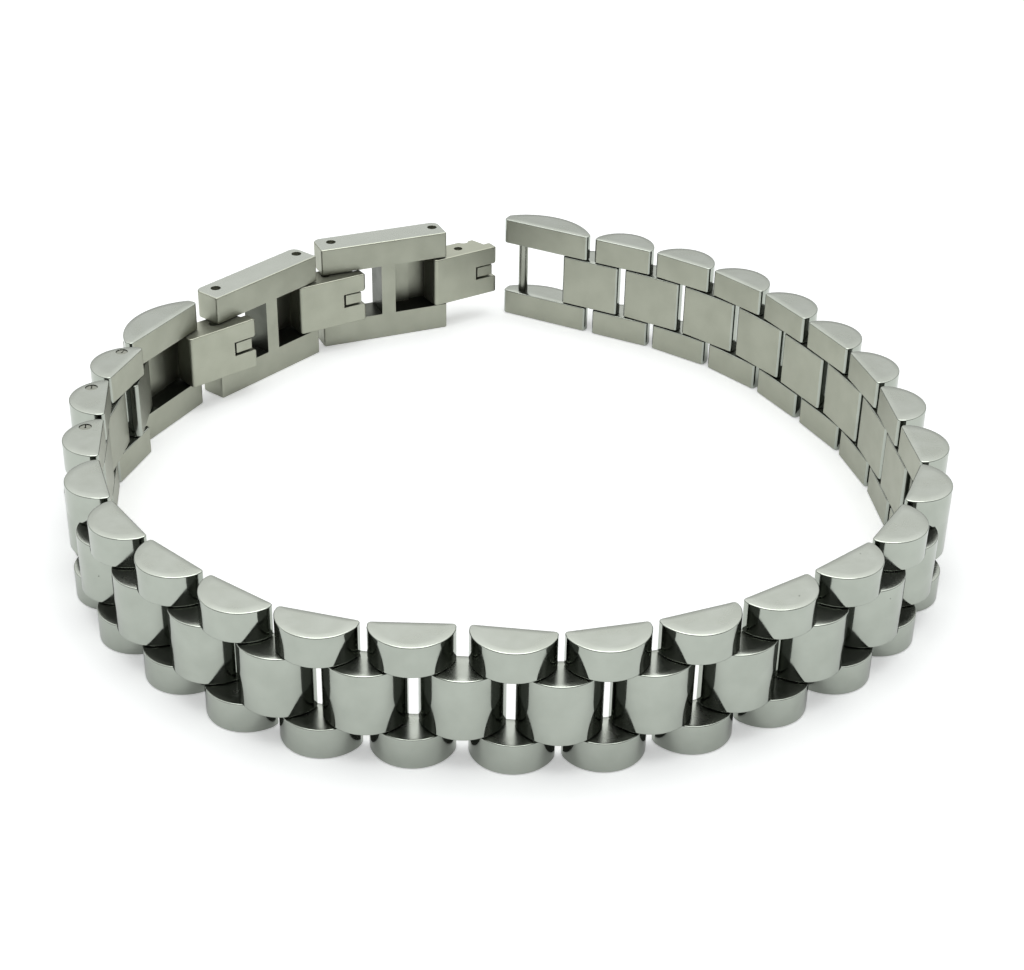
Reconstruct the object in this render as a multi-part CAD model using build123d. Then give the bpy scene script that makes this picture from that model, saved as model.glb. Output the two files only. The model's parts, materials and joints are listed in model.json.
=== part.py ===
from build123d import *
import os

# Link bracelet standing on its edge, open at the clasp, in millimetres.
# Every pin is upright. The chain starts at the catch end link and runs
# clockwise, seen from above, to the hook at the free end of the clasp.

# Band
band_width = 12.0
cheek_height = 3.0
side_play = 0.05
pin_spacing = 4.0
link_count = 24

# Half-round link section
link_thickness = 3.6
link_end_margin = 1.55
link_side_wall = 0.8
link_corner_round = 0.35
link_bevel = 0.15
link_pin_depth = 1.6

# Link pins
link_pin_radius = 0.6
running_play = 0.05
blind_wall = 0.8
removable_pin_recess = 0.1
split_pin_bore_radius = 0.12
split_pin_slit = 0.1
removable_pin_links = (22, 23, 24)

# Clasp pins and bars
clasp_pin_radius = 0.55
clasp_pin_recess = 0.35
swing_clearance = 0.2
knuckle_cover_play = 0.15
knuckle_cover_margin = 0.1

# Catch end link
catch_pin_spacing = 7.5
catch_end_margin = 1.85
catch_end_wall = 1.4
end_link_round = 0.5

# Clasp end link
clasp_link_pin_spacing = 8.8
clasp_link_end_margin = 1.05
clasp_link_end_wall = 1.1
knuckle_pin_drop = 0.5
bridge_inner_height = 0.5
bridge_clearance = 0.35

# Clasp frames
frame_pin_spacing = 12.25
frame_bar_margin = 1.8
frame_pocket_margin = 1.05
frame_thickness = 3.5
frame_pin_depth = 2.05
frame_outer_round = 0.9
frame_corner_round = 0.2
frame_bevel = 0.15
frame_slot_length = 5.3
frame_web = 1.65
frame_floor = 0.8

# Hook tongues
tongue_count = 3
tongue_side_play = 0.15
tongue_thickness = 3.3
tongue_pin_depth = 2.35
tongue_heel_round = 0.45
tongue_bevel = 0.12
bar_seat_x = 4.85
bar_seat_proud = 0.1
lip_drop = 0.15
lip_length = 1.15
lip_slope_length = 0.5
tip_length = 1.0
tip_thickness = 1.4
tip_round = 0.45
tongue_notch_length = 2.9
lobe_round = 0.4
notch_mouth_round = 0.5

# Latches
latch_pin_radius = 0.5
latch_pin_x = 3.2
latch_pin_drop = 0.6
latch_side_play = 0.2
latch_channel_width = 1.6
latch_channel_start = 2.3
latch_channel_floor = 0.75
latch_eye_radius = 0.75
latch_arm_height = 0.65
latch_block_gap = 0.3
latch_block_length = 2.0
latch_block_inset = 0.15
latch_nose_gap = 0.2
latch_nose_length = 0.5
latch_nose_height = 0.9

# Resting turn from each outer link to the next, in degrees towards the wrist,
# from the catch end link round to the last outer link. Half of each turn is
# taken by the pin at either end of the centre link between them.
link_turns = (
    0, 9, 12, 12, 3, 12, 9, 0, 27, 9, 18, 6,
    12, 9, 21, -6, 15, 21, 6, 12, 16, 12, 0, 24,
)
# Resting turns at the two pins of the centre link before the clasp end link
last_link_turns = (-18, 28)
# Resting turn at each clasp pin: end link, first bar, first frame, second bar,
# second frame.
clasp_turns = (21, -9, 19, 9, -10)
catch_heading = -28

cut_overrun = 1.0
centre_bottom = cheek_height + side_play
centre_height = band_width - 2 * centre_bottom
upper_cheek_bottom = band_width - cheek_height
knuckle_radius = tongue_thickness - tongue_pin_depth
tongue_bottom = cheek_height + tongue_side_play
tongue_height = band_width - 2 * tongue_bottom
tongue_inner = -tongue_pin_depth
bar_seat_y = knuckle_radius + bar_seat_proud
lip_height = knuckle_radius - lip_drop
lip_end_x = bar_seat_x + lip_length
tip_start_x = lip_end_x + lip_slope_length
tongue_length = tip_start_x + tip_length
tongue_swing_radius = (knuckle_radius**2 + tongue_pin_depth**2) ** 0.5 + swing_clearance


def upright(x, y, radius, bottom, top):
    """Round bar or hole on an upright axis."""
    return Pos(x, y, bottom) * extrude(Circle(radius), amount=top - bottom)


def block(x_start, x_end, y_start, y_end, bottom, top):
    """Rectangular block between the given sides."""
    corner = Pos(x_start, y_start, bottom)
    return corner * Box(x_end - x_start, y_end - y_start, top - bottom, align=Align.MIN)


def bevel_rims(solid, bevel):
    """Small bevel round the top and the bottom face."""
    levels = solid.faces().sort_by(Axis.Z)
    return chamfer(levels[0].edges() + levels[-1].edges(), bevel)


def beveled_bar(section, bottom, top):
    return bevel_rims(Pos(0, 0, bottom) * extrude(section, amount=top - bottom), link_bevel)


def half_round(x_start, x_end, start_wall=link_side_wall, end_wall=link_side_wall):
    """Section of a link: flat towards the wrist, an arc on the outer side."""
    inner = -link_pin_depth
    start_shoulder = (x_start, inner + start_wall)
    end_shoulder = (x_end, inner + end_wall)
    crown = ((x_start + x_end) / 2, inner + link_thickness)
    outline = Polyline(start_shoulder, (x_start, inner), (x_end, inner), end_shoulder)
    outline += ThreePointArc(end_shoulder, crown, start_shoulder)
    return make_face(outline)


def link_section():
    section = half_round(-link_end_margin, pin_spacing + link_end_margin)
    return fillet(section.vertices().group_by(Axis.Y)[0], link_corner_round)


def catch_end_section():
    """Long section whose blunt end lies beyond the catch bar, at x = 0."""
    end = catch_pin_spacing + link_end_margin
    section = half_round(-catch_end_margin, end, start_wall=catch_end_wall)
    section = fillet(section.vertices().group_by(Axis.X)[0], end_link_round)
    link_corner = section.vertices().group_by(Axis.X)[-1].sort_by(Axis.Y)[0]
    return fillet(link_corner, link_corner_round)


def clasp_end_section():
    """Long section whose blunt end lies beyond the first tongue's knuckle."""
    end = clasp_link_pin_spacing + clasp_link_end_margin
    section = half_round(-link_end_margin, end, end_wall=clasp_link_end_wall)
    section = fillet(section.vertices().group_by(Axis.X)[-1], end_link_round)
    link_corner = section.vertices().group_by(Axis.X)[0].sort_by(Axis.Y)[0]
    return fillet(link_corner, link_corner_round)


def blind_pin(x):
    return upright(x, 0, link_pin_radius, blind_wall, band_width - blind_wall)


def removable_pin(x):
    """Rolled pin, slit along one side, whose ends show just below the cheeks."""
    section = Circle(link_pin_radius) - Circle(split_pin_bore_radius)
    section -= Pos(link_pin_radius / 2, 0) * Rectangle(link_pin_radius, split_pin_slit)
    bottom = removable_pin_recess
    return Pos(x, 0, bottom) * extrude(section, amount=band_width - 2 * bottom)


def cheek_pair(section):
    """Lower and upper cheek of one section, before their pin holes."""
    lower = beveled_bar(section, 0, cheek_height)
    upper = beveled_bar(section, upper_cheek_bottom, band_width)
    return lower, upper


def outer_link(number):
    """Two cheeks on two pins. The last links of the band have a removable pin."""
    pins = [blind_pin(0)]
    hole = blind_pin(0)
    if number in removable_pin_links:
        hole += upright(pin_spacing, 0, link_pin_radius, -cut_overrun, band_width + cut_overrun)
        pins.append(removable_pin(pin_spacing))
    else:
        hole += blind_pin(pin_spacing)
        pins.append(blind_pin(pin_spacing))
    return [cheek - hole for cheek in cheek_pair(link_section())] + pins


def centre_link():
    """Half-round centre piece that turns on one pin of each outer link beside it."""
    body = beveled_bar(link_section(), centre_bottom, centre_bottom + centre_height)
    bore = link_pin_radius + running_play
    for x in (0, pin_spacing):
        body -= upright(x, 0, bore, 0, band_width)
    return [body]


def catch_bar():
    return [upright(0, 0, clasp_pin_radius, blind_wall, band_width - blind_wall)]


def catch_end_link():
    """Two long cheeks, open between the catch bar and the first centre link."""
    pin = blind_pin(catch_pin_spacing)
    bar = catch_bar()[0]
    return [cheek - pin - bar for cheek in cheek_pair(catch_end_section())] + [pin]


def clasp_end_link():
    """Long end link, one piece: its cheeks are bridged on the outer side, up to the knuckle."""
    body = beveled_bar(clasp_end_section(), 0, band_width)
    bridge_start = link_end_margin + bridge_clearance
    bridge_end = clasp_link_pin_spacing - tongue_swing_radius
    cover_end = clasp_link_pin_spacing - knuckle_cover_margin
    cover_inner = knuckle_radius + knuckle_cover_play - knuckle_pin_drop
    slot = (cheek_height, upper_cheek_bottom)
    outer = link_thickness + cut_overrun
    before = -link_end_margin - cut_overrun
    after = clasp_link_pin_spacing + clasp_link_end_margin + cut_overrun
    body -= block(before, bridge_start, -outer, outer, *slot)
    body -= block(bridge_start, bridge_end, -outer, bridge_inner_height, *slot)
    body -= block(bridge_end, cover_end, -outer, cover_inner, *slot)
    body -= block(cover_end, after, -outer, outer, *slot)
    link_pin = blind_pin(0)
    pin_ends = (blind_wall, band_width - blind_wall)
    knuckle_pin = upright(clasp_link_pin_spacing, -knuckle_pin_drop, clasp_pin_radius, *pin_ends)
    return [body - link_pin - knuckle_pin, link_pin, knuckle_pin]


def clasp_frame():
    """Frame with an open slot and bar for one tongue, and a covered pocket with a pin for the next."""
    start = -frame_bar_margin
    end = frame_pin_spacing + frame_pocket_margin
    inner = -frame_pin_depth
    outer = inner + frame_thickness
    length = end - start
    section = Pos((start + end) / 2, (inner + outer) / 2) * Rectangle(length, frame_thickness)
    section = fillet(section.vertices().group_by(Axis.Y)[-1], frame_outer_round)
    section = fillet(section.vertices().group_by(Axis.Y)[0], frame_corner_round)
    body = bevel_rims(extrude(section, amount=band_width), frame_bevel)
    slot_end = frame_slot_length
    pocket_start = slot_end + frame_web
    swing_start = frame_pin_spacing - tongue_swing_radius
    cover_end = frame_pin_spacing - knuckle_cover_margin
    floor_top = outer - frame_floor
    cover_inner = knuckle_radius + knuckle_cover_play
    slot = (cheek_height, upper_cheek_bottom)
    before = start - cut_overrun
    after = end + cut_overrun
    body -= block(before, slot_end, inner - cut_overrun, outer + cut_overrun, *slot)
    body -= block(pocket_start, swing_start, inner - cut_overrun, floor_top, *slot)
    body -= block(swing_start, cover_end, inner - cut_overrun, cover_inner, *slot)
    body -= block(cover_end, after, inner - cut_overrun, outer + cut_overrun, *slot)
    pins = []
    for x in (0, frame_pin_spacing):
        body -= upright(x, 0, clasp_pin_radius, -cut_overrun, band_width + cut_overrun)
        pins.append(upright(x, 0, clasp_pin_radius, clasp_pin_recess, band_width - clasp_pin_recess))
    return [body] + pins


def tongue_section():
    """Side of a hook tongue: heel and knuckle at one end, lip and thin tip at the other."""
    tip_outer = tongue_inner + tip_thickness
    outline = Polyline(
        (0, knuckle_radius),
        (bar_seat_x, knuckle_radius),
        (bar_seat_x, lip_height),
        (lip_end_x, lip_height),
        (tip_start_x, tip_outer),
        (tongue_length, tip_outer),
        (tongue_length, tongue_inner),
        (-knuckle_radius, tongue_inner),
        (-knuckle_radius, 0),
    )
    outline += CenterArc((0, 0), knuckle_radius, 90, 90)
    section = make_face(outline)
    section = fillet(section.vertices().group_by(Axis.X)[-1], tip_round)
    heel = section.vertices().group_by(Axis.Y)[0].sort_by(Axis.X)[0]
    return fillet(heel, tongue_heel_round)


def tip_corner(level, side, radius):
    """What rounding one corner of the tip takes off. The tongue lies above it if side is 1."""
    reach = tongue_pin_depth + knuckle_radius
    start = tongue_length - radius
    faces = sorted((level - side * cut_overrun, level + side * radius))
    corner = block(start, tongue_length + cut_overrun, -reach, reach, *faces)
    return corner - Pos(start, 0, level + side * radius) * Rot(90, 0, 0) * Cylinder(radius, 2 * reach)


def tongue():
    """Hook tongue: a knuckle at one end, a seat for a bar and a notched tip at the other."""
    tongue_top = tongue_bottom + tongue_height
    body = Pos(0, 0, tongue_bottom) * extrude(tongue_section(), amount=tongue_height)
    body = bevel_rims(body, tongue_bevel)
    body -= upright(0, 0, clasp_pin_radius + running_play, 0, band_width)
    body -= upright(bar_seat_x, bar_seat_y, clasp_pin_radius + running_play, 0, band_width)
    body -= upright(latch_pin_x, -latch_pin_drop, latch_pin_radius, 0, band_width)
    channel = ((band_width - latch_channel_width) / 2, (band_width + latch_channel_width) / 2)
    after = tongue_length + cut_overrun
    outer = knuckle_radius + cut_overrun
    floor = tongue_inner + latch_channel_floor
    body -= block(latch_channel_start, after, floor, outer, *channel)
    notch_start = tongue_length - tongue_notch_length
    body -= block(notch_start, after, tongue_inner - cut_overrun, outer, *channel)
    for level, side in ((tongue_bottom, 1), (tongue_top, -1)):
        body -= tip_corner(level, side, lobe_round)
    for level, side in ((channel[0], -1), (channel[1], 1)):
        body -= tip_corner(level, side, notch_mouth_round)
    pin_ends = (tongue_bottom + clasp_pin_recess, tongue_top - clasp_pin_recess)
    pin = upright(latch_pin_x, -latch_pin_drop, latch_pin_radius, *pin_ends)
    return [body, pin]


def latch():
    """Small lever in the tongue's channel. Its nose holds the bar in its seat."""
    bottom = (band_width - latch_channel_width) / 2 + latch_side_play
    top = band_width - bottom
    ends = (bottom - cut_overrun, top + cut_overrun)
    arm_top = -latch_pin_drop
    arm_bottom = arm_top - latch_arm_height
    block_start = tongue_length - tongue_notch_length + latch_block_gap
    block_end = block_start + latch_block_length
    block_inner = tongue_inner + latch_block_inset
    nose_start = bar_seat_x + clasp_pin_radius + latch_nose_gap
    nose_end = nose_start + latch_nose_length
    body = upright(latch_pin_x, -latch_pin_drop, latch_eye_radius, bottom, top)
    body += block(latch_pin_x, block_end, arm_bottom, arm_top, bottom, top)
    body += block(block_start, block_end, block_inner, arm_top, bottom, top)
    body += block(nose_start, nose_end, arm_bottom, latch_nose_height, bottom, top)
    body -= upright(latch_pin_x, -latch_pin_drop, latch_pin_radius + running_play, *ends)
    return [body]


def step(spot, x, y, turn):
    """Spot of the next piece: its first pin at x, y of this one, turned towards the wrist."""
    return spot * Location((x, y, 0), (0, 0, -turn))


# Place the pieces along the chain
pieces = {}
spots = {}


def place(name, solids, spot):
    pieces[name] = [spot * solid for solid in solids]
    spots[name] = spot


spot = Location((0, 0, 0), (0, 0, catch_heading))
place("catch_end_link", catch_end_link(), spot)
place("catch_bar", catch_bar(), spot)
reach = catch_pin_spacing
for number in range(1, link_count + 1):
    half_turn = link_turns[number - 1] / 2
    spot = step(spot, reach, 0, half_turn)
    place(f"centre_link_{number:02d}", centre_link(), spot)
    spot = step(spot, pin_spacing, 0, half_turn)
    place(f"outer_link_{number:02d}", outer_link(number), spot)
    reach = pin_spacing
spot = step(spot, pin_spacing, 0, last_link_turns[0])
place(f"centre_link_{link_count + 1:02d}", centre_link(), spot)
spot = step(spot, pin_spacing, 0, last_link_turns[1])
place("clasp_end_link", clasp_end_link(), spot)

knuckle_spot = (clasp_link_pin_spacing, -knuckle_pin_drop)
for number in range(1, tongue_count + 1):
    spot = step(spot, *knuckle_spot, clasp_turns[2 * number - 2])
    place(f"hook_tongue_{number}", tongue(), spot)
    place(f"latch_{number}", latch(), spot)
    if number < tongue_count:
        spot = step(spot, bar_seat_x, bar_seat_y, clasp_turns[2 * number - 1])
        place(f"clasp_frame_{number}", clasp_frame(), spot)
        knuckle_spot = (frame_pin_spacing, 0)

# Centre the bracelet over its origin
everything = Compound([solid for solids in pieces.values() for solid in solids])
middle = everything.bounding_box().center()
centring = Pos(-middle.X, -middle.Y, 0)

os.makedirs("parts", exist_ok=True)
for name, solids in pieces.items():
    spots[name] = centring * spots[name]
    export_step(Compound([centring * solid for solid in solids]), f"parts/{name}.step")
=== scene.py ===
import bpy
import bmesh
import json
from math import asin, atan2, cos, degrees, radians, sin, sqrt
from mathutils import Matrix, Vector


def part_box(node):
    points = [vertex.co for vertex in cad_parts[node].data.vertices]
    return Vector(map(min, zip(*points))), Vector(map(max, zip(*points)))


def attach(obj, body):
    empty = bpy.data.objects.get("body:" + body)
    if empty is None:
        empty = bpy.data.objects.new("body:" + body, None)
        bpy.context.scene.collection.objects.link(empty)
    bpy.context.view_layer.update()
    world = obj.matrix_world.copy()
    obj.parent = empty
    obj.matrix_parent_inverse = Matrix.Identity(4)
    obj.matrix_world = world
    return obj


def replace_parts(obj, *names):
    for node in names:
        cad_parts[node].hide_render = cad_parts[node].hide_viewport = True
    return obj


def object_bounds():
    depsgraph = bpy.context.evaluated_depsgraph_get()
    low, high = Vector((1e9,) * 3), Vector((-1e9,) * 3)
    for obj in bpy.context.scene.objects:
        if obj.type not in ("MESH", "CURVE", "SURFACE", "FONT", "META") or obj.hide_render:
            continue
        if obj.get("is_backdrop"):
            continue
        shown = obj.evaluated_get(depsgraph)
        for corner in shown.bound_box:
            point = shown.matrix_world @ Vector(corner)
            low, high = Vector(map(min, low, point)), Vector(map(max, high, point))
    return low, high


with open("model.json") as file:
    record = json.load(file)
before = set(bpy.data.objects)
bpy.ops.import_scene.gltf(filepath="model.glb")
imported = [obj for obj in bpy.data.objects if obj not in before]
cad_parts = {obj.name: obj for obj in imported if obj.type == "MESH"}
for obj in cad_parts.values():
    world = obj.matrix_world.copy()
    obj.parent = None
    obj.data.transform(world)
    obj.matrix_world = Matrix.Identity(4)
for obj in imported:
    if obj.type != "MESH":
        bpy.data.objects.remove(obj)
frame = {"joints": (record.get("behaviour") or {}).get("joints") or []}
cad_low, cad_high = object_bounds()

# Centre links. Half-round bars of 316L stainless steel, sawn from drawn section and bored for
# the two pins that they turn on. The round side is buffed, and the flat side, which lies on
# the skin, is left satin from the belt.
mm = 0.001
hinge = {joint["name"]: Vector(joint["pos_m"]) for joint in frame["joints"]}
band_width = (cad_high.z - cad_low.z) / mm
pin_spacing = (hinge["link_hinge_02"] - hinge["link_hinge_01"]).length / mm
cheek_height = 3.0
side_play = 0.05
link_thickness = 3.6
link_pin_depth = 1.6
link_end_margin = 1.55
link_side_wall = 0.8
link_corner_round = 0.35
link_shoulder_round = 0.12
link_rim_round = 0.11
link_pillow_drop = 0.045
pillow_share = 0.3
pillow_steps = 5
link_bore_radius = 0.65
buffed_edge_round = 0.05
edge_segments = 2
sharp_angle = 38
smooth_angle = 50
flat_share = 0.95
link_count = 24
crown_steps = 44
corner_steps = 5
rim_steps = 4
bore_steps = 32

buffed_steel_hex = "#B9BFB5"
buffed_shade_hex = "#B1B7AD"
buffed_roughness = (0.07, 0.15)
lapped_steel_hex = "#C0C5BC"
lapped_shade_hex = "#B7BCB2"
lapped_roughness = (0.2, 0.3)
satin_steel_hex = "#B7BAAA"
satin_shade_hex = "#B2B5A5"
satin_roughness = (0.36, 0.42)
speck_hex = "#3A3C36"
smudge_size = 2.4
smudge_detail = 3
smudge_tone_band = (0.35, 0.7)
smudge_gloss_band = (0.3, 0.75)
speck_spacing = 1.7
speck_radius = 0.07
speck_share = 0.16
buffing_ripple_size = 1.6
buffing_ripple_height = 0.0016
belt_line_spacing = 0.22
belt_line_length = 5.0
belt_line_height = 0.0035
tool_line_detail = 2


def arc(x, y, radius, start, end, steps):
    """Points of an arc round x, y between two angles in degrees."""
    turn = (end - start) / steps
    angles = [radians(start + turn * i) for i in range(steps + 1)]
    return [(x + radius * cos(angle), y + radius * sin(angle)) for angle in angles]


def circle_through(first, second, third):
    """Middle and radius of the circle through three points."""
    (ax, ay), (bx, by), (cx, cy) = first, second, third
    a, b, c = ax * ax + ay * ay, bx * bx + by * by, cx * cx + cy * cy
    area = 2 * (ax * (by - cy) + bx * (cy - ay) + cx * (ay - by))
    x = (a * (by - cy) + b * (cy - ay) + c * (ay - by)) / area
    y = (a * (cx - bx) + b * (ax - cx) + c * (bx - ax)) / area
    return x, y, sqrt((ax - x) ** 2 + (ay - y) ** 2)


def half_round(x_start, x_end, walls, shoulders, corners):
    """Link seen from above: flat towards the wrist, an arc on the outer side.

    walls are the heights of the start and the end, shoulders the radii where they meet
    the arc, and corners the radii where they meet the flat.
    """
    inner = -link_pin_depth
    crown = ((x_start + x_end) / 2, inner + link_thickness)
    x, y, radius = circle_through((x_start, inner + walls[0]), crown, (x_end, inner + walls[1]))
    blends = []
    for wall_x, blend, side in ((x_start, shoulders[0], -1), (x_end, shoulders[1], 1)):
        blend_x = wall_x - side * blend
        blend_y = y + sqrt((radius - blend) ** 2 - (blend_x - x) ** 2)
        blends.append((blend_x, blend_y, blend, degrees(atan2(blend_y - y, blend_x - x))))
    (*start, start_angle), (*end, end_angle) = blends
    outline = arc(x_start + corners[0], inner + corners[0], corners[0], 180, 270, corner_steps)
    outline += arc(x_end - corners[1], inner + corners[1], corners[1], 270, 360, corner_steps)
    outline += arc(*end, 0, end_angle, corner_steps)
    outline += arc(x, y, radius, end_angle, start_angle, crown_steps)[1:-1]
    outline += arc(*start, start_angle, 180, corner_steps)
    return outline


def inset(outline, distance):
    """The same closed outline, moved inwards."""
    moved = []
    for i, point in enumerate(outline):
        here = Vector(point)
        before = (here - Vector(outline[i - 1])).normalized()
        after = (Vector(outline[(i + 1) % len(outline)]) - here).normalized()
        inwards = Vector((-before.y - after.y, before.x + after.x))
        moved.append(here + inwards * 2 * distance / inwards.length_squared)
    return moved


def add_bar(shape, outline, bottom, top, rim_round, pillow_drop=0):
    """Adds an upright bar, one closed skin, in millimetres.

    Its rims are rounded, and its ends fall towards them by pillow_drop, as buffing leaves them.
    """
    quarter = [radians(90 * i / rim_steps) for i in range(rim_steps + 1)]
    rim = [(rim_round * (1 - sin(a)), pillow_drop + rim_round * (1 - cos(a))) for a in quarter]
    low = [(inset(outline, distance), bottom + depth) for distance, depth in rim]
    high = [(ring, bottom + top - height) for ring, height in reversed(low)]
    if pillow_drop:
        edge = [Vector(point) for point in high[-1][0]]
        middle = sum(edge, Vector((0, 0))) / len(edge)
        inner = []
        for i in range(1, pillow_steps + 1):
            ring = [point.lerp(middle, pillow_share * i / pillow_steps) for point in edge]
            inner.append((ring, pillow_drop * (1 - i / pillow_steps) ** 2))
        low = [(ring, bottom + depth) for ring, depth in reversed(inner)] + low
        high += [(ring, top - depth) for ring, depth in inner]
    rings = []
    for ring, height in low + high:
        rings.append([shape.verts.new((*point, height)) for point in ring])
    for below, above in zip(rings, rings[1:]):
        for i in range(len(outline)):
            shape.faces.new((below[i - 1], below[i], above[i], above[i - 1]))
    shape.faces.new(reversed(rings[0]))
    shape.faces.new(rings[-1])


def add_round_bar(shape, x, y, radius, bottom, top, rim_round):
    """Adds an upright round bar, or the cutter for a hole."""
    add_bar(shape, arc(x, y, radius, 0, 360, bore_steps)[:-1], bottom, top, rim_round)


def settled(shape, modifiers):
    """Plain mesh of a bmesh or a mesh after the given modifiers."""
    mesh = shape
    if isinstance(shape, bmesh.types.BMesh):
        mesh = bpy.data.meshes.new("blank")
        shape.to_mesh(mesh)
    blank = bpy.data.objects.new("blank", mesh)
    bpy.context.scene.collection.objects.link(blank)
    for kind, settings in modifiers:
        modifier = blank.modifiers.new(kind, kind)
        for name, value in settings.items():
            setattr(modifier, name, value)
    graph = bpy.context.evaluated_depsgraph_get()
    result = bpy.data.meshes.new_from_object(blank.evaluated_get(graph))
    bpy.data.objects.remove(blank)
    return result


def carved(shape, cutter):
    """Mesh of a solid less the closed bars in the cutter."""
    tool = bpy.data.objects.new("cutter", settled(cutter, []))
    bpy.context.scene.collection.objects.link(tool)
    cut = {"operation": "DIFFERENCE", "solver": "EXACT", "object": tool, "use_self": True}
    result = settled(shape, [("BOOLEAN", cut)])
    bpy.data.objects.remove(tool)
    return result


def finished(name, shape, edge_round, finishes, finish_of):
    """Mesh in metres with its edges eased and a finish on each face."""
    eased = {"width": edge_round, "segments": edge_segments, "limit_method": "ANGLE",
             "angle_limit": radians(sharp_angle)}
    mesh = settled(shape, [("BEVEL", eased)])
    for face in mesh.polygons:
        face.use_smooth = True
        face.material_index = finish_of(face)
    mesh.set_sharp_from_angle(angle=radians(smooth_angle))
    mesh = settled(mesh, [("WEIGHTED_NORMAL", {"keep_sharp": True})])
    mesh.name = name
    mesh.transform(Matrix.Scale(mm, 4))
    for finish in finishes:
        mesh.materials.append(finish)
    return mesh


def linear(sheet_hex):
    """Linear colour of an sRGB hex value."""
    shares = [int(sheet_hex[i:i + 2], 16) / 255 for i in (1, 3, 5)]
    return (*[s / 12.92 if s <= 0.04045 else ((s + 0.055) / 1.055) ** 2.4 for s in shares], 1)


def add(tree, kind, inputs=None, **settings):
    """One shader node. An input that is another node's output is linked, any other is set."""
    made = tree.nodes.new("ShaderNode" + kind)
    for name, value in settings.items():
        setattr(made, name, value)
    for name, value in (inputs or {}).items():
        if isinstance(value, bpy.types.NodeSocket):
            tree.links.new(value, made.inputs[name])
        else:
            made.inputs[name].default_value = value
    return made


def steel(name, light_hex, shade_hex, roughness, line_scale, bump_height, specks):
    """Stainless steel. Smudges change its gloss, and its bump is what the last tool left.

    Specks are the few tiny pits and grains of dust that a mirror finish shows.
    """
    material = bpy.data.materials.new(name)
    material.use_nodes = True
    tree = material.node_tree
    tree.nodes.clear()
    place = add(tree, "TexCoord").outputs["Object"]
    own = add(tree, "ObjectInfo").outputs["Random"]
    shift = add(tree, "CombineXYZ", {"X": own, "Y": own, "Z": own}).outputs[0]
    spot = add(tree, "VectorMath", {0: shift, 1: place}, operation="ADD").outputs[0]
    smudge = add(tree, "TexNoise", {"Vector": spot, "Scale": 1 / (smudge_size * mm),
                                    "Detail": smudge_detail}).outputs["Fac"]
    cloud = add(tree, "MapRange", {"Value": smudge, "From Min": smudge_tone_band[0],
                                   "From Max": smudge_tone_band[1]}).outputs[0]
    lines_at = add(tree, "VectorMath", {0: spot, 1: line_scale}, operation="MULTIPLY").outputs[0]
    lines = add(tree, "TexNoise", {"Vector": lines_at, "Scale": 1, "Detail": tool_line_detail})
    tone = add(tree, "Mix", {0: cloud, 6: linear(light_hex), 7: linear(shade_hex)},
               data_type="RGBA").outputs[2]
    if specks:
        cells = add(tree, "TexVoronoi", {"Vector": spot, "Scale": 1 / (speck_spacing * mm)})
        near = add(tree, "Math", {0: cells.outputs["Distance"], 1: speck_radius / speck_spacing},
                   operation="LESS_THAN").outputs[0]
        some = add(tree, "SeparateColor", {0: cells.outputs["Color"]}).outputs[0]
        chosen = add(tree, "Math", {0: some, 1: speck_share}, operation="LESS_THAN").outputs[0]
        speck = add(tree, "Math", {0: near, 1: chosen}, operation="MULTIPLY").outputs[0]
        tone = add(tree, "Mix", {0: speck, 6: tone, 7: linear(speck_hex)}, data_type="RGBA").outputs[2]
    gloss = add(tree, "MapRange", {"Value": smudge, "From Min": smudge_gloss_band[0],
                                   "From Max": smudge_gloss_band[1], "To Min": roughness[0],
                                   "To Max": roughness[1]}).outputs[0]
    bump = add(tree, "Bump", {"Height": lines.outputs["Fac"], "Strength": 1,
                              "Distance": bump_height * mm}).outputs[0]
    shader = add(tree, "BsdfPrincipled", {"Base Color": tone, "Roughness": gloss, "Normal": bump,
                                          "Metallic": 1})
    add(tree, "OutputMaterial", {"Surface": shader.outputs[0]})
    return material


# Buffed steel mirrors its surroundings, with the faint ripple that a cloth wheel leaves. The
# ripple runs alike in all directions.
ripple = (1 / (buffing_ripple_size * mm),) * 3
buffed_steel = steel("buffed_stainless_steel", buffed_steel_hex, buffed_shade_hex, buffed_roughness,
                     ripple, buffing_ripple_height, specks=True)

# Lapped steel: the ends of the links are ground flat, then lightly buffed, so they blur what
# they mirror.
lapped_steel = steel("lapped_stainless_steel", lapped_steel_hex, lapped_shade_hex, lapped_roughness,
                     ripple, buffing_ripple_height, specks=True)

# Satin steel keeps the lines of a fine belt, which run along the band. Real lines lie about
# 0.03 mm apart, and these are drawn wider so that they show.
along = 1 / (belt_line_length * mm)
across = 1 / (belt_line_spacing * mm)
belt_lines = (along, across, across)
satin_steel = steel("satin_stainless_steel", satin_steel_hex, satin_shade_hex, satin_roughness,
                    belt_lines, belt_line_height, specks=False)
link_finishes = (buffed_steel, lapped_steel, satin_steel)


def link_finish(face):
    """Round sides are buffed, ends across the band are lapped, and the skin side is satin."""
    if abs(face.normal.z) > flat_share:
        return 1
    return 2 if face.normal.y < -flat_share else 0


def place_piece(name, mesh, body, origin, towards, second=(1, 0)):
    """Stands a piece in its node's place, first pin at origin and its second point turned towards."""
    heading = atan2(towards.y - origin.y, towards.x - origin.x) - atan2(second[1], second[0])
    piece = bpy.data.objects.new(name, mesh)
    bpy.context.scene.collection.objects.link(piece)
    turned = Matrix.Rotation(heading, 4, "Z")
    piece.matrix_world = Matrix.Translation((origin.x, origin.y, 0)) @ turned
    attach(piece, body)
    return piece


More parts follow.
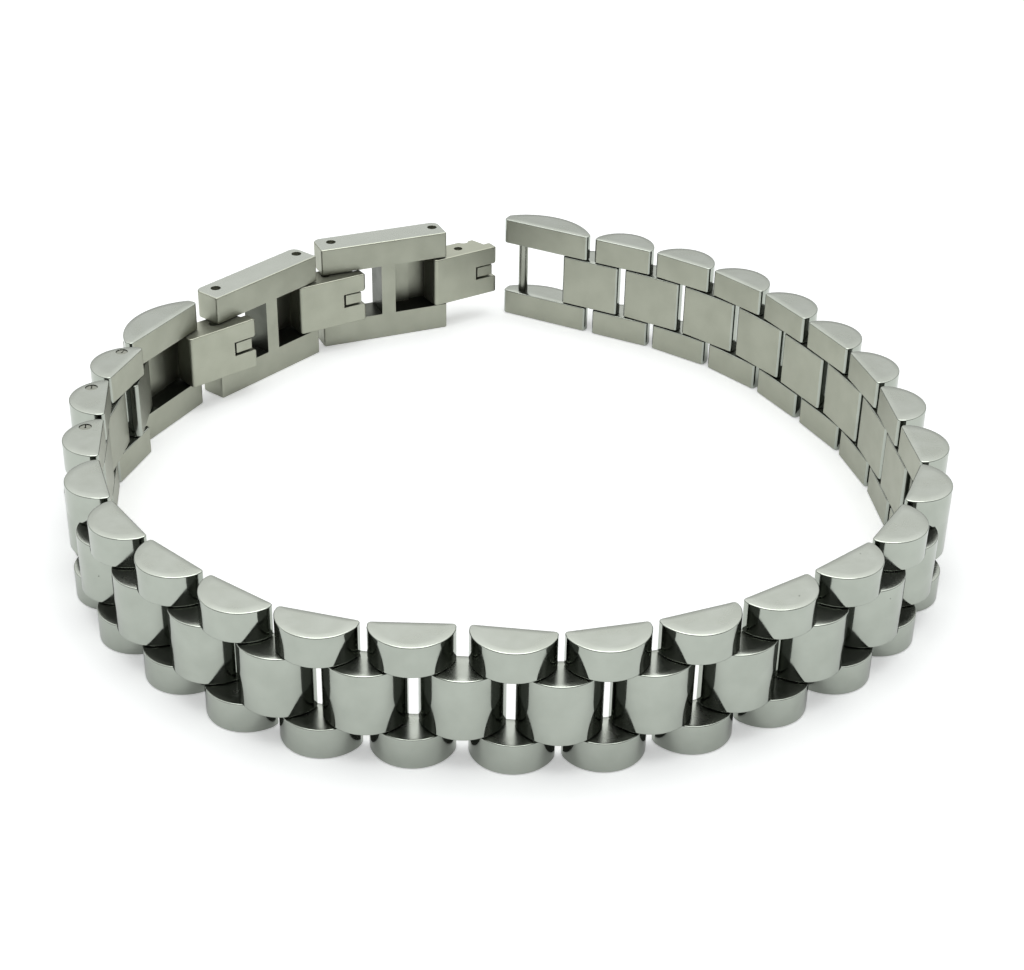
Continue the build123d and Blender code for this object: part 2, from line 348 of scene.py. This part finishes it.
link_outline = half_round(-link_end_margin, pin_spacing + link_end_margin, (link_side_wall,) * 2,
                          (link_shoulder_round,) * 2, (link_corner_round,) * 2)
centre_bottom = cheek_height + side_play
centre_bar = bmesh.new()
add_bar(centre_bar, link_outline, centre_bottom, band_width - centre_bottom, link_rim_round,
        link_pillow_drop)
bores = bmesh.new()
for x in (0, pin_spacing):
    add_round_bar(bores, x, 0, link_bore_radius, 0, band_width, 0)
centre_link = finished("centre_link", carved(centre_bar, bores), buffed_edge_round, link_finishes,
                       link_finish)
for number in range(1, link_count + 2):
    node = f"centre_link_{number:02d}"
    start, end = hinge[f"link_hinge_{2 * number - 1:02d}"], hinge[f"link_hinge_{2 * number:02d}"]
    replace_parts(place_piece(f"centre_{number:02d}", centre_link, node, start, end), node)

# Outer links. Two cheeks of the same half-round section, held together by two steel pins that
# are pressed into blind holes. The last links before the clasp have one rolled, slit pin
# instead, which is driven out to size the band and shows as a small ring on both edges.
blind_wall = 0.8
link_pin_radius = 0.6
press_gap = 0.01
pin_rim_round = 0.05
rolled_pin_radius = 0.56
rolled_pin_bore = 0.1
rolled_pin_slit = 0.08
rolled_pin_recess = 0.08
rolled_rim_round = 0.02
rolled_pin_links = (22, 23, 24)
wire_steel_hex = "#A6A99D"
wire_shade_hex = "#999C90"
wire_roughness = (0.25, 0.35)
draw_line_spacing = 0.2
draw_line_height = 0.0006

# Drawn wire has fine lines along its length, drawn wider here than real ones, and is a little
# greyer than the buffed links.
round_pin = 1 / (draw_line_spacing * mm)
wire_steel = steel("drawn_steel_wire", wire_steel_hex, wire_shade_hex, wire_roughness,
                   (round_pin, round_pin, along), draw_line_height, specks=False)


def pinned(name, cheeks, holes, pins, edge_round, finishes, finish_of=link_finish):
    """Mesh of a drilled part with its pins, which keep the finish of wire."""
    whole = bmesh.new()
    whole.from_mesh(finished(name, carved(cheeks, holes), edge_round, finishes, finish_of))
    whole.from_mesh(finished(name + "_pins", pins, press_gap, finishes, lambda face: len(finishes)))
    mesh = bpy.data.meshes.new(name)
    whole.to_mesh(mesh)
    for finish in (*finishes, wire_steel):
        mesh.materials.append(finish)
    return mesh


def rolled_pin(x):
    """Outline of a rolled pin: a ring with a slit on the side of the next pin."""
    outer = degrees(asin(rolled_pin_slit / 2 / rolled_pin_radius))
    inner = degrees(asin(rolled_pin_slit / 2 / rolled_pin_bore))
    outline = arc(x, 0, rolled_pin_radius, outer, 360 - outer, bore_steps)
    return outline + arc(x, 0, rolled_pin_bore, 360 - inner, inner, bore_steps // 2)


def add_cheek_pair(shape, outline):
    """Adds the lower and the upper cheek of a link."""
    for bottom, top in ((0, cheek_height), (band_width - cheek_height, band_width)):
        add_bar(shape, outline, bottom, top, link_rim_round, link_pillow_drop)


def add_blind_pin(holes, pins, x, y, radius):
    """Adds a pin and the blind hole that it is pressed into."""
    inner_end = blind_wall + press_gap
    add_round_bar(holes, x, y, radius, blind_wall, band_width - blind_wall, 0)
    add_round_bar(pins, x, y, radius - press_gap, inner_end, band_width - inner_end, pin_rim_round)


def outer_link(name, rolled):
    """Two drilled cheeks and their two pins. The second pin is rolled in the removable links."""
    cheeks, holes, pins = bmesh.new(), bmesh.new(), bmesh.new()
    add_cheek_pair(cheeks, link_outline)
    add_blind_pin(holes, pins, 0, 0, link_pin_radius)
    if rolled:
        add_round_bar(holes, pin_spacing, 0, link_pin_radius, -cheek_height, band_width + cheek_height, 0)
        add_bar(pins, rolled_pin(pin_spacing), rolled_pin_recess, band_width - rolled_pin_recess,
                rolled_rim_round)
    else:
        add_blind_pin(holes, pins, pin_spacing, 0, link_pin_radius)
    return pinned(name, cheeks, holes, pins, buffed_edge_round, link_finishes)


plain_outer_link = outer_link("outer_link", rolled=False)
removable_outer_link = outer_link("removable_outer_link", rolled=True)
for number in range(1, link_count + 1):
    node = f"outer_link_{number:02d}"
    start, end = hinge[f"link_hinge_{2 * number:02d}"], hinge[f"link_hinge_{2 * number + 1:02d}"]
    mesh = removable_outer_link if number in rolled_pin_links else plain_outer_link
    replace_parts(place_piece(f"outer_{number:02d}", mesh, node, start, end), node)

# Catch end link. Two long half-round cheeks with blunt ends, joined by the first centre link's
# pin and by the bar that the hook of the clasp closes on.
catch_pin_x = 7.5
catch_end_margin = 1.85
catch_end_wall = 1.4
end_link_round = 0.5
clasp_pin_radius = 0.55

catch_low, catch_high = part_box("catch_bar")
catch_spot = (catch_low + catch_high) / 2
catch_outline = half_round(-catch_end_margin, catch_pin_x + link_end_margin,
                           (catch_end_wall, link_side_wall), (end_link_round, link_shoulder_round),
                           (end_link_round, link_corner_round))
cheeks, holes, pins, bar = bmesh.new(), bmesh.new(), bmesh.new(), bmesh.new()
add_cheek_pair(cheeks, catch_outline)
add_blind_pin(holes, pins, catch_pin_x, 0, link_pin_radius)
add_blind_pin(holes, bar, 0, 0, clasp_pin_radius)
mesh = pinned("catch_end_link", cheeks, holes, pins, buffed_edge_round, link_finishes)
piece = place_piece("catch_end", mesh, "catch_end_link", catch_spot,
                    hinge["link_hinge_01"])
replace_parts(piece, "catch_end_link")
mesh = finished("catch_bar", bar, press_gap, (wire_steel,), lambda face: 0)
piece = place_piece("catch_pin", mesh, "catch_end_link", catch_spot, hinge["link_hinge_01"])
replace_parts(piece, "catch_bar")

# Clasp end link. One milled piece of the same section: its cheeks are bridged on the outer
# side as far as the knuckle, and it holds a link pin at one end and the first tongue's pin at
# the other.
clasp_link_length = 8.8
knuckle_pin_drop = 0.5
clasp_link_end_margin = 1.05
clasp_link_end_wall = 1.1
bridge_inner_height = 0.5
bridge_start_x = 1.9
swing_radius = 2.735
knuckle_cover_height = 1.1
knuckle_cover_margin = 0.1
milled_edge_round = 0.07
cut_overrun = 1.0
milled_painted_shade_hex = "#696C63"
milled_painted_deep_shade_hex = "#5C5F57"
milled_roughness = (0.3, 0.42)
slot_wall_share = 0.7

# Slots are left as the cutter leaves them, duller than the faces that are finished, and their colour is
# painted dark: painted shade for the deep slots.
# The cutter's marks stand as far apart as the belt's lines and run across the band.
milled_painted_shade_steel = steel("milled_steel_painted_slot_shade", milled_painted_shade_hex, milled_painted_deep_shade_hex, milled_roughness,
                     (across, across, along), belt_line_height, specks=False)


def add_block(shape, x_start, x_end, y_start, y_end, bottom, top):
    """Adds a rectangular block, here to mill a slot with."""
    corners = [(x_start, y_start), (x_end, y_start), (x_end, y_end), (x_start, y_end)]
    add_bar(shape, corners, bottom, top, 0)


clasp_link_outline = half_round(-link_end_margin, clasp_link_length + clasp_link_end_margin,
                                (link_side_wall, clasp_link_end_wall),
                                (link_shoulder_round, end_link_round),
                                (link_corner_round, end_link_round))
slot = (cheek_height, band_width - cheek_height)


def slotted_finish(start, end):
    """Finish of a slotted part's faces: those of its slot, between start and end, are milled steel with
    painted shade.
    """
    def finish_of(face):
        x, y, z = face.center
        inside = slot[0] - milled_edge_round < z < slot[1] + milled_edge_round and start < x < end
        if inside and abs(face.normal.y) < slot_wall_share:
            return 3
        return link_finish(face)
    return finish_of


reach = link_thickness + cut_overrun
before = -link_end_margin - cut_overrun
after = clasp_link_length + clasp_link_end_margin + cut_overrun
bridge_end_x = clasp_link_length - swing_radius
cover_end_x = clasp_link_length - knuckle_cover_margin
cover_inner = knuckle_cover_height - knuckle_pin_drop
body, holes, pins = bmesh.new(), bmesh.new(), bmesh.new()
add_bar(body, clasp_link_outline, 0, band_width, link_rim_round, link_pillow_drop)
add_block(holes, before, bridge_start_x, -reach, reach, *slot)
add_block(holes, bridge_start_x - press_gap, bridge_end_x + press_gap, -reach, bridge_inner_height, *slot)
add_block(holes, bridge_end_x, cover_end_x + press_gap, -reach, cover_inner, *slot)
add_block(holes, cover_end_x, after, -reach, reach, *slot)
add_blind_pin(holes, pins, 0, 0, link_pin_radius)
add_blind_pin(holes, pins, clasp_link_length, -knuckle_pin_drop, clasp_pin_radius)
# Its slot faces take milled steel with painted shade.
mesh = pinned("clasp_end_link", body, holes, pins, milled_edge_round, (*link_finishes, milled_painted_shade_steel),
              slotted_finish(bridge_start_x - milled_edge_round, after))
piece = place_piece("clasp_end", mesh, "clasp_end_link", hinge["link_hinge_50"],
                    hinge["tongue_1_knuckle"], (clasp_link_length, -knuckle_pin_drop))
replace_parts(piece, "clasp_end_link")

# Clasp frames. Milled blocks, satin inside and ground on their edges: an open slot with the bar
# that one tongue closes on, a web, and a covered pocket with the pin of the next tongue. Both
# pins are set back from the edges, which leaves a small dark hole over each.
frame_bar_margin = 1.8
frame_pocket_margin = 1.05
frame_thickness = 3.5
frame_pin_depth = 2.05
frame_outer_round = 0.9
frame_corner_round = 0.2
frame_rim_round = 0.15
frame_slot_length = 5.3
frame_web = 1.65
frame_floor = 0.8
clasp_pin_recess = 0.35
frame_count = 2
clasp_steel_hex = "#B8BBAB"
clasp_shade_hex = "#B2B5A5"
clasp_roughness = (0.4, 0.46)
ground_painted_sheen_hex = "#D0D5CB"
ground_painted_sheen_shade_hex = "#C8CDC3"
clasp_pin_spacing = (hinge["tongue_2_knuckle"] - hinge["frame_1_bar"]).length / mm

# Clasp steel is brushed on a fine belt and left satin, warmer and duller than the links.
clasp_steel = steel("brushed_clasp_steel", clasp_steel_hex, clasp_shade_hex, clasp_roughness,
                    belt_lines, belt_line_height, specks=False)

# The frames' edges are ground flat and buffed, and painted brighter than the links' ends: a painted sheen
# for their lit faces.
ground_painted_sheen_steel = steel("ground_clasp_steel_painted_sheen", ground_painted_sheen_hex, ground_painted_sheen_shade_hex, lapped_roughness,
                     ripple, buffing_ripple_height, specks=False)


def rounded_box(x_start, x_end, y_start, y_end, inner_round, outer_round):
    """Box seen from above, with one radius on its skin side and another on its outer side."""
    outline = arc(x_start + inner_round, y_start + inner_round, inner_round, 180, 270, corner_steps)
    outline += arc(x_end - inner_round, y_start + inner_round, inner_round, 270, 360, corner_steps)
    outline += arc(x_end - outer_round, y_end - outer_round, outer_round, 0, 90, 2 * corner_steps)
    outline += arc(x_start + outer_round, y_end - outer_round, outer_round, 90, 180, 2 * corner_steps)
    return outline


frame_start = -frame_bar_margin
frame_end = clasp_pin_spacing + frame_pocket_margin
frame_inner = -frame_pin_depth
frame_outer = frame_inner + frame_thickness
floor_top = frame_outer - frame_floor
floor_end_x = clasp_pin_spacing - swing_radius
cover_end_x = clasp_pin_spacing - knuckle_cover_margin
before, after = frame_start - cut_overrun, frame_end + cut_overrun
inner, outer = frame_inner - cut_overrun, frame_outer + cut_overrun
body, holes, pins = bmesh.new(), bmesh.new(), bmesh.new()
outline = rounded_box(frame_start, frame_end, frame_inner, frame_outer, frame_corner_round,
                      frame_outer_round)
add_bar(body, outline, 0, band_width, frame_rim_round)
add_block(holes, before, frame_slot_length, inner, outer, *slot)
add_block(holes, frame_slot_length + frame_web, floor_end_x, inner, floor_top, *slot)
add_block(holes, floor_end_x - press_gap, cover_end_x, inner, knuckle_cover_height, *slot)
add_block(holes, cover_end_x - press_gap, after, inner, outer, *slot)
for x in (0, clasp_pin_spacing):
    add_round_bar(holes, x, 0, clasp_pin_radius, -cut_overrun, band_width + cut_overrun, 0)
    add_round_bar(pins, x, 0, clasp_pin_radius - press_gap, clasp_pin_recess,
                  band_width - clasp_pin_recess, pin_rim_round)
# Its ends across the band take ground steel with a painted sheen, and its slot faces take milled steel with
# painted shade.
clasp_frame = pinned("clasp_frame", body, holes, pins, milled_edge_round,
                     (clasp_steel, ground_painted_sheen_steel, clasp_steel, milled_painted_shade_steel), slotted_finish(before, after))
for number in range(1, frame_count + 1):
    node = f"clasp_frame_{number}"
    piece = place_piece(f"frame_{number}", clasp_frame, node,
                        hinge[f"frame_{number}_bar"], hinge[f"tongue_{number + 1}_knuckle"])
    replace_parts(piece, node)

# Hook tongues. Three alike, milled from bar and brushed: a knuckle on a pin, a round seat that
# hooks on the next bar, and a thin tip with a notch, where the latch shows. A channel for the
# latch runs in the outer side, and the latch's own pin crosses it.
tongue_count = 3
tongue_side_play = 0.15
tongue_thickness = 3.3
tongue_pin_depth = 2.35
tongue_heel_round = 0.45
tongue_rim_round = 0.12
bore_radius = 0.6
bar_seat_x = 4.85
bar_seat_proud = 0.1
lip_drop = 0.15
lip_length = 1.15
lip_slope_length = 0.5
tip_length = 1.0
tip_thickness = 1.4
tip_round = 0.45
notch_length = 2.9
lobe_round = 0.4
notch_mouth_round = 0.5
latch_pin_radius = 0.5
latch_pin_x = 3.2
latch_pin_drop = 0.6
channel_width = 1.6
channel_start = 2.3
channel_floor = 0.75
tongue_steel_hex = "#BDC0AF"
tongue_shade_hex = "#B7BAA9"
tongue_roughness = (0.38, 0.44)

# Tongue steel has the same brushing as the frames, and is a shade brighter.
tongue_steel = steel("brushed_tongue_steel", tongue_steel_hex, tongue_shade_hex, tongue_roughness,
                     belt_lines, belt_line_height, specks=False)

knuckle_radius = tongue_thickness - tongue_pin_depth
tongue_inner = -tongue_pin_depth
seat_y = knuckle_radius + bar_seat_proud
lip_y = knuckle_radius - lip_drop
lip_end_x = bar_seat_x + lip_length
tip_start_x = lip_end_x + lip_slope_length
tongue_end = tip_start_x + tip_length
tip_y = tongue_inner + tip_thickness
lip_angle = degrees(asin((lip_y - seat_y) / bore_radius))
back_angle = -180 - degrees(asin((knuckle_radius - seat_y) / bore_radius))
outline = arc(tongue_heel_round - knuckle_radius, tongue_inner + tongue_heel_round, tongue_heel_round,
              180, 270, corner_steps)
outline += arc(tongue_end - tip_round, tongue_inner + tip_round, tip_round, 270, 360, corner_steps)
outline += arc(tongue_end - tip_round, tip_y - tip_round, tip_round, 0, 90, corner_steps)
outline += [(tip_start_x, tip_y), (lip_end_x, lip_y)]
outline += arc(bar_seat_x, seat_y, bore_radius, lip_angle, back_angle, 3 * corner_steps)
outline += arc(0, 0, knuckle_radius, 90, 180, 2 * corner_steps)


def add_tip_corner(shape, level, side, radius):
    """Adds what rounding one corner of the tip takes off. The tongue lies above it if side is 1."""
    corner = arc(tongue_end - radius, level + side * radius, radius, -90 * side, 0, corner_steps)
    corner += [(tongue_end + cut_overrun, level + side * radius)]
    corner += [(x, level - side * cut_overrun) for x in (tongue_end + cut_overrun, tongue_end - radius)]
    others = set(shape.verts)
    add_bar(shape, corner[::-side], -tongue_thickness, tongue_thickness, 0)
    fresh = [vert for vert in shape.verts if vert not in others]
    bmesh.ops.rotate(shape, verts=fresh, cent=(0, 0, 0), matrix=Matrix.Rotation(radians(90), 3, "X"))


tongue_bottom = cheek_height + tongue_side_play
tongue_top = band_width - tongue_bottom
channel = ((band_width - channel_width) / 2, (band_width + channel_width) / 2)
after, outer = tongue_end + cut_overrun, knuckle_radius + cut_overrun
body, holes, pins = bmesh.new(), bmesh.new(), bmesh.new()
add_bar(body, outline, tongue_bottom, tongue_top, tongue_rim_round)
add_round_bar(holes, 0, 0, bore_radius, 0, band_width, 0)
add_round_bar(holes, latch_pin_x, -latch_pin_drop, latch_pin_radius, 0, band_width, 0)
add_block(holes, channel_start, after, tongue_inner + channel_floor, outer, *channel)
add_block(holes, tongue_end - notch_length, after, tongue_inner - cut_overrun,
          tongue_inner + channel_floor + press_gap, *channel)
for level, side in ((tongue_bottom, 1), (tongue_top, -1)):
    add_tip_corner(holes, level, side, lobe_round)
for level, side in ((channel[0], -1), (channel[1], 1)):
    add_tip_corner(holes, level, side, notch_mouth_round)
add_round_bar(pins, latch_pin_x, -latch_pin_drop, latch_pin_radius - press_gap,
              tongue_bottom + clasp_pin_recess, tongue_top - clasp_pin_recess, pin_rim_round)
hook_tongue = pinned("hook_tongue", body, holes, pins, milled_edge_round, (tongue_steel,) * 3)
for number in range(1, tongue_count + 1):
    node = f"hook_tongue_{number}"
    piece = place_piece(f"tongue_{number}", hook_tongue, node,
                        hinge[f"tongue_{number}_knuckle"], hinge[f"latch_{number}_pin"],
                        (latch_pin_x, -latch_pin_drop))
    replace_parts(piece, node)

# Latches. Small levers stamped from steel, sprung on their pins: the block shows in the
# tongue's notch, where a nail lifts it, and the nose holds the bar in its seat.
latch_side_play = 0.2
latch_eye_radius = 0.75
latch_arm_height = 0.65
latch_block_gap = 0.3
latch_block_length = 2.0
latch_block_inset = 0.15
latch_nose_gap = 0.2
latch_nose_length = 0.5
latch_nose_height = 0.9
latch_running_play = 0.05
latch_edge_round = 0.05

arm_top = -latch_pin_drop
arm_bottom = arm_top - latch_arm_height
block_start = tongue_end - notch_length + latch_block_gap
block_end = block_start + latch_block_length
block_inner = tongue_inner + latch_block_inset
nose_start = bar_seat_x + clasp_pin_radius + latch_nose_gap
nose_end = nose_start + latch_nose_length
arm_angle = 360 - degrees(asin(latch_arm_height / latch_eye_radius))
outline = [(block_start, block_inner), (block_end, block_inner), (block_end, arm_top), (nose_end, arm_top)]
outline += [(nose_end, latch_nose_height), (nose_start, latch_nose_height), (nose_start, arm_top)]
outline += arc(latch_pin_x, arm_top, latch_eye_radius, 0, arm_angle, 5 * corner_steps)
outline += [(block_start, arm_bottom)]
latch_bottom = channel[0] + latch_side_play
latch_top = channel[1] - latch_side_play
body, holes = bmesh.new(), bmesh.new()
add_bar(body, outline, latch_bottom, latch_top, 0)
add_round_bar(holes, latch_pin_x, -latch_pin_drop, latch_pin_radius + latch_running_play, 0, band_width, 0)
latch = finished("latch", carved(body, holes), latch_edge_round, (tongue_steel,), lambda face: 0)
for number in range(1, tongue_count + 1):
    node = f"latch_{number}"
    piece = place_piece(f"lever_{number}", latch, node,
                        hinge[f"tongue_{number}_knuckle"], hinge[f"latch_{number}_pin"],
                        (latch_pin_x, -latch_pin_drop))
    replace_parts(piece, node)

# Table. A matt white sheet that the bracelet stands on. It shows white to the camera and in
# the steel, and keeps the soft shadow round the links. Light that the steel has mirrored more
# than once is painted darker in the sheet's colour and glow and in the tent's: painted shade for
# the dark things that stand round a real table, which darkens the links' sides between neighbours.
table_hex = "#F6F8F8"
table_half_size = 1200.0
table_glow = 0.3
mirrored_table_glow = 0.12
second_hand_painted_shade_share = 0.12
second_bounce = 1.5
white = (1, 1, 1, 1)


def first_hand_share(tree, ray):
    """Share of the light that a ray keeps: less once steel has mirrored it twice."""
    twice = add(tree, "Math", {0: ray.outputs["Glossy Depth"], 1: second_bounce},
                operation="GREATER_THAN").outputs[0]
    return add(tree, "MapRange", {"Value": twice, "To Min": 1, "To Max": second_hand_painted_shade_share}).outputs[0]


table_material = bpy.data.materials.new("matt_white_sheet")
table_material.use_nodes = True
tree = table_material.node_tree
tree.nodes.clear()
ray = add(tree, "LightPath")
first_hand = first_hand_share(tree, ray)
sheet_tone = add(tree, "VectorMath", {0: linear(table_hex)[:3], "Scale": first_hand}, operation="SCALE")
paper = add(tree, "BsdfDiffuse", {"Color": sheet_tone.outputs[0]}).outputs[0]
straight = add(tree, "Math", {0: ray.outputs["Is Camera Ray"], 1: ray.outputs["Is Transmission Ray"]},
               operation="MAXIMUM").outputs[0]
seen = add(tree, "Math", {0: straight, 1: table_glow}, operation="MULTIPLY").outputs[0]
mirrored = add(tree, "Math", {0: first_hand, 1: mirrored_table_glow}, operation="MULTIPLY").outputs[0]
mirrored = add(tree, "Math", {0: ray.outputs["Is Glossy Ray"], 1: mirrored},
               operation="MULTIPLY").outputs[0]
strength = add(tree, "Math", {0: seen, 1: mirrored}, operation="MAXIMUM").outputs[0]
glow = add(tree, "Emission", {"Color": white, "Strength": strength}).outputs[0]
lit = add(tree, "AddShader", {0: paper, 1: glow}).outputs[0]
add(tree, "OutputMaterial", {"Surface": lit})
sheet = bmesh.new()
side = table_half_size * mm
sheet.faces.new([sheet.verts.new((x * side, y * side, 0)) for x, y in ((-1, -1), (1, -1), (1, 1), (-1, 1))])
mesh = bpy.data.meshes.new("table")
sheet.to_mesh(mesh)
mesh.materials.append(table_material)
table = bpy.data.objects.new("table", mesh)
bpy.context.scene.collection.objects.link(table)
table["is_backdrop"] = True

# Light. A white tent: an even glow all round, greyer towards the horizon in what the steel
# mirrors, open and dark low down at the front, and one large soft lamp overhead.
tent_glow = 0.62
horizon_glow = 0.12
zenith_glow = 1.4
zenith_height_share = 0.8
front_glow_share = 0.05
front_height_share = 0.85
front_band = (0.1, -0.5)
backdrop_glow = 1.0
lamp_size = 420.0
lamp_height = 520.0
lamp_back = 10.0
lamp_power = 1.15

world = bpy.data.worlds.new("white_tent")
world.use_nodes = True
bpy.context.scene.world = world
tree = world.node_tree
tree.nodes.clear()
sky = add(tree, "TexCoord").outputs["Generated"]
sides = add(tree, "SeparateXYZ", {0: sky})
rising = add(tree, "MapRange", {"Value": sides.outputs["Z"], "From Max": zenith_height_share,
                                "To Min": horizon_glow, "To Max": zenith_glow}).outputs[0]
front = add(tree, "MapRange", {"Value": sides.outputs["Y"], "From Min": front_band[0],
                               "From Max": front_band[1]}).outputs[0]
low = add(tree, "MapRange", {"Value": sides.outputs["Z"], "From Min": front_height_share,
                             "From Max": front_height_share / 2}).outputs[0]
dark = add(tree, "Math", {0: front, 1: low}, operation="MULTIPLY").outputs[0]
share = add(tree, "MapRange", {"Value": dark, "To Min": 1, "To Max": front_glow_share}).outputs[0]
mirrored = add(tree, "Math", {0: rising, 1: share}, operation="MULTIPLY").outputs[0]
ray = add(tree, "LightPath")
# The tent is painted darker too where the steel mirrors it more than once, as painted shade between the
# links.
mirrored = add(tree, "Math", {0: mirrored, 1: first_hand_share(tree, ray)},
               operation="MULTIPLY").outputs[0]
shiny = add(tree, "Math", {0: ray.outputs["Is Glossy Ray"], 1: ray.outputs["Is Transmission Ray"]},
            operation="MAXIMUM").outputs[0]
level = add(tree, "Mix", {0: shiny, 2: tent_glow, 3: mirrored}, data_type="FLOAT").outputs[0]
level = add(tree, "Mix", {0: ray.outputs["Is Camera Ray"], 2: level, 3: backdrop_glow},
            data_type="FLOAT").outputs[0]
backdrop = add(tree, "Background", {"Color": white, "Strength": level})
add(tree, "OutputWorld", {"Surface": backdrop.outputs[0]})
lamp = bpy.data.lights.new("soft_lamp", "AREA")
lamp.shape = "SQUARE"
lamp.size = lamp_size * mm
lamp.energy = lamp_power
lamp_holder = bpy.data.objects.new("soft_lamp", lamp)
lamp_holder.location = (0, lamp_back * mm, lamp_height * mm)
bpy.context.scene.collection.objects.link(lamp_holder)

# Camera. It is held low in front of the band, and looks down across the links to the open
# clasp.
camera_spot = (0.18, -164.37, 97.47)
camera_pitch = 30.39
camera_yaw = 0.31
camera_roll = 1.05
sensor_width = 36.0
lens_share = 1.8525
camera_near = 10.0

camera = bpy.data.cameras.new("camera")
camera.sensor_fit = "HORIZONTAL"
camera.sensor_width = sensor_width
camera.lens = lens_share * sensor_width
camera.clip_start = camera_near * mm
holder = bpy.data.objects.new("camera", camera)
bpy.context.scene.collection.objects.link(holder)
aim = Matrix.Rotation(radians(-camera_yaw), 4, "Z") @ Matrix.Rotation(radians(90 - camera_pitch), 4, "X")
aim = aim @ Matrix.Rotation(radians(camera_roll), 4, "Z")
holder.matrix_world = Matrix.Translation(Vector(camera_spot) * mm) @ aim
bpy.context.scene.camera = holder
bpy.context.scene.view_settings.view_transform = "Standard"

low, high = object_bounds()
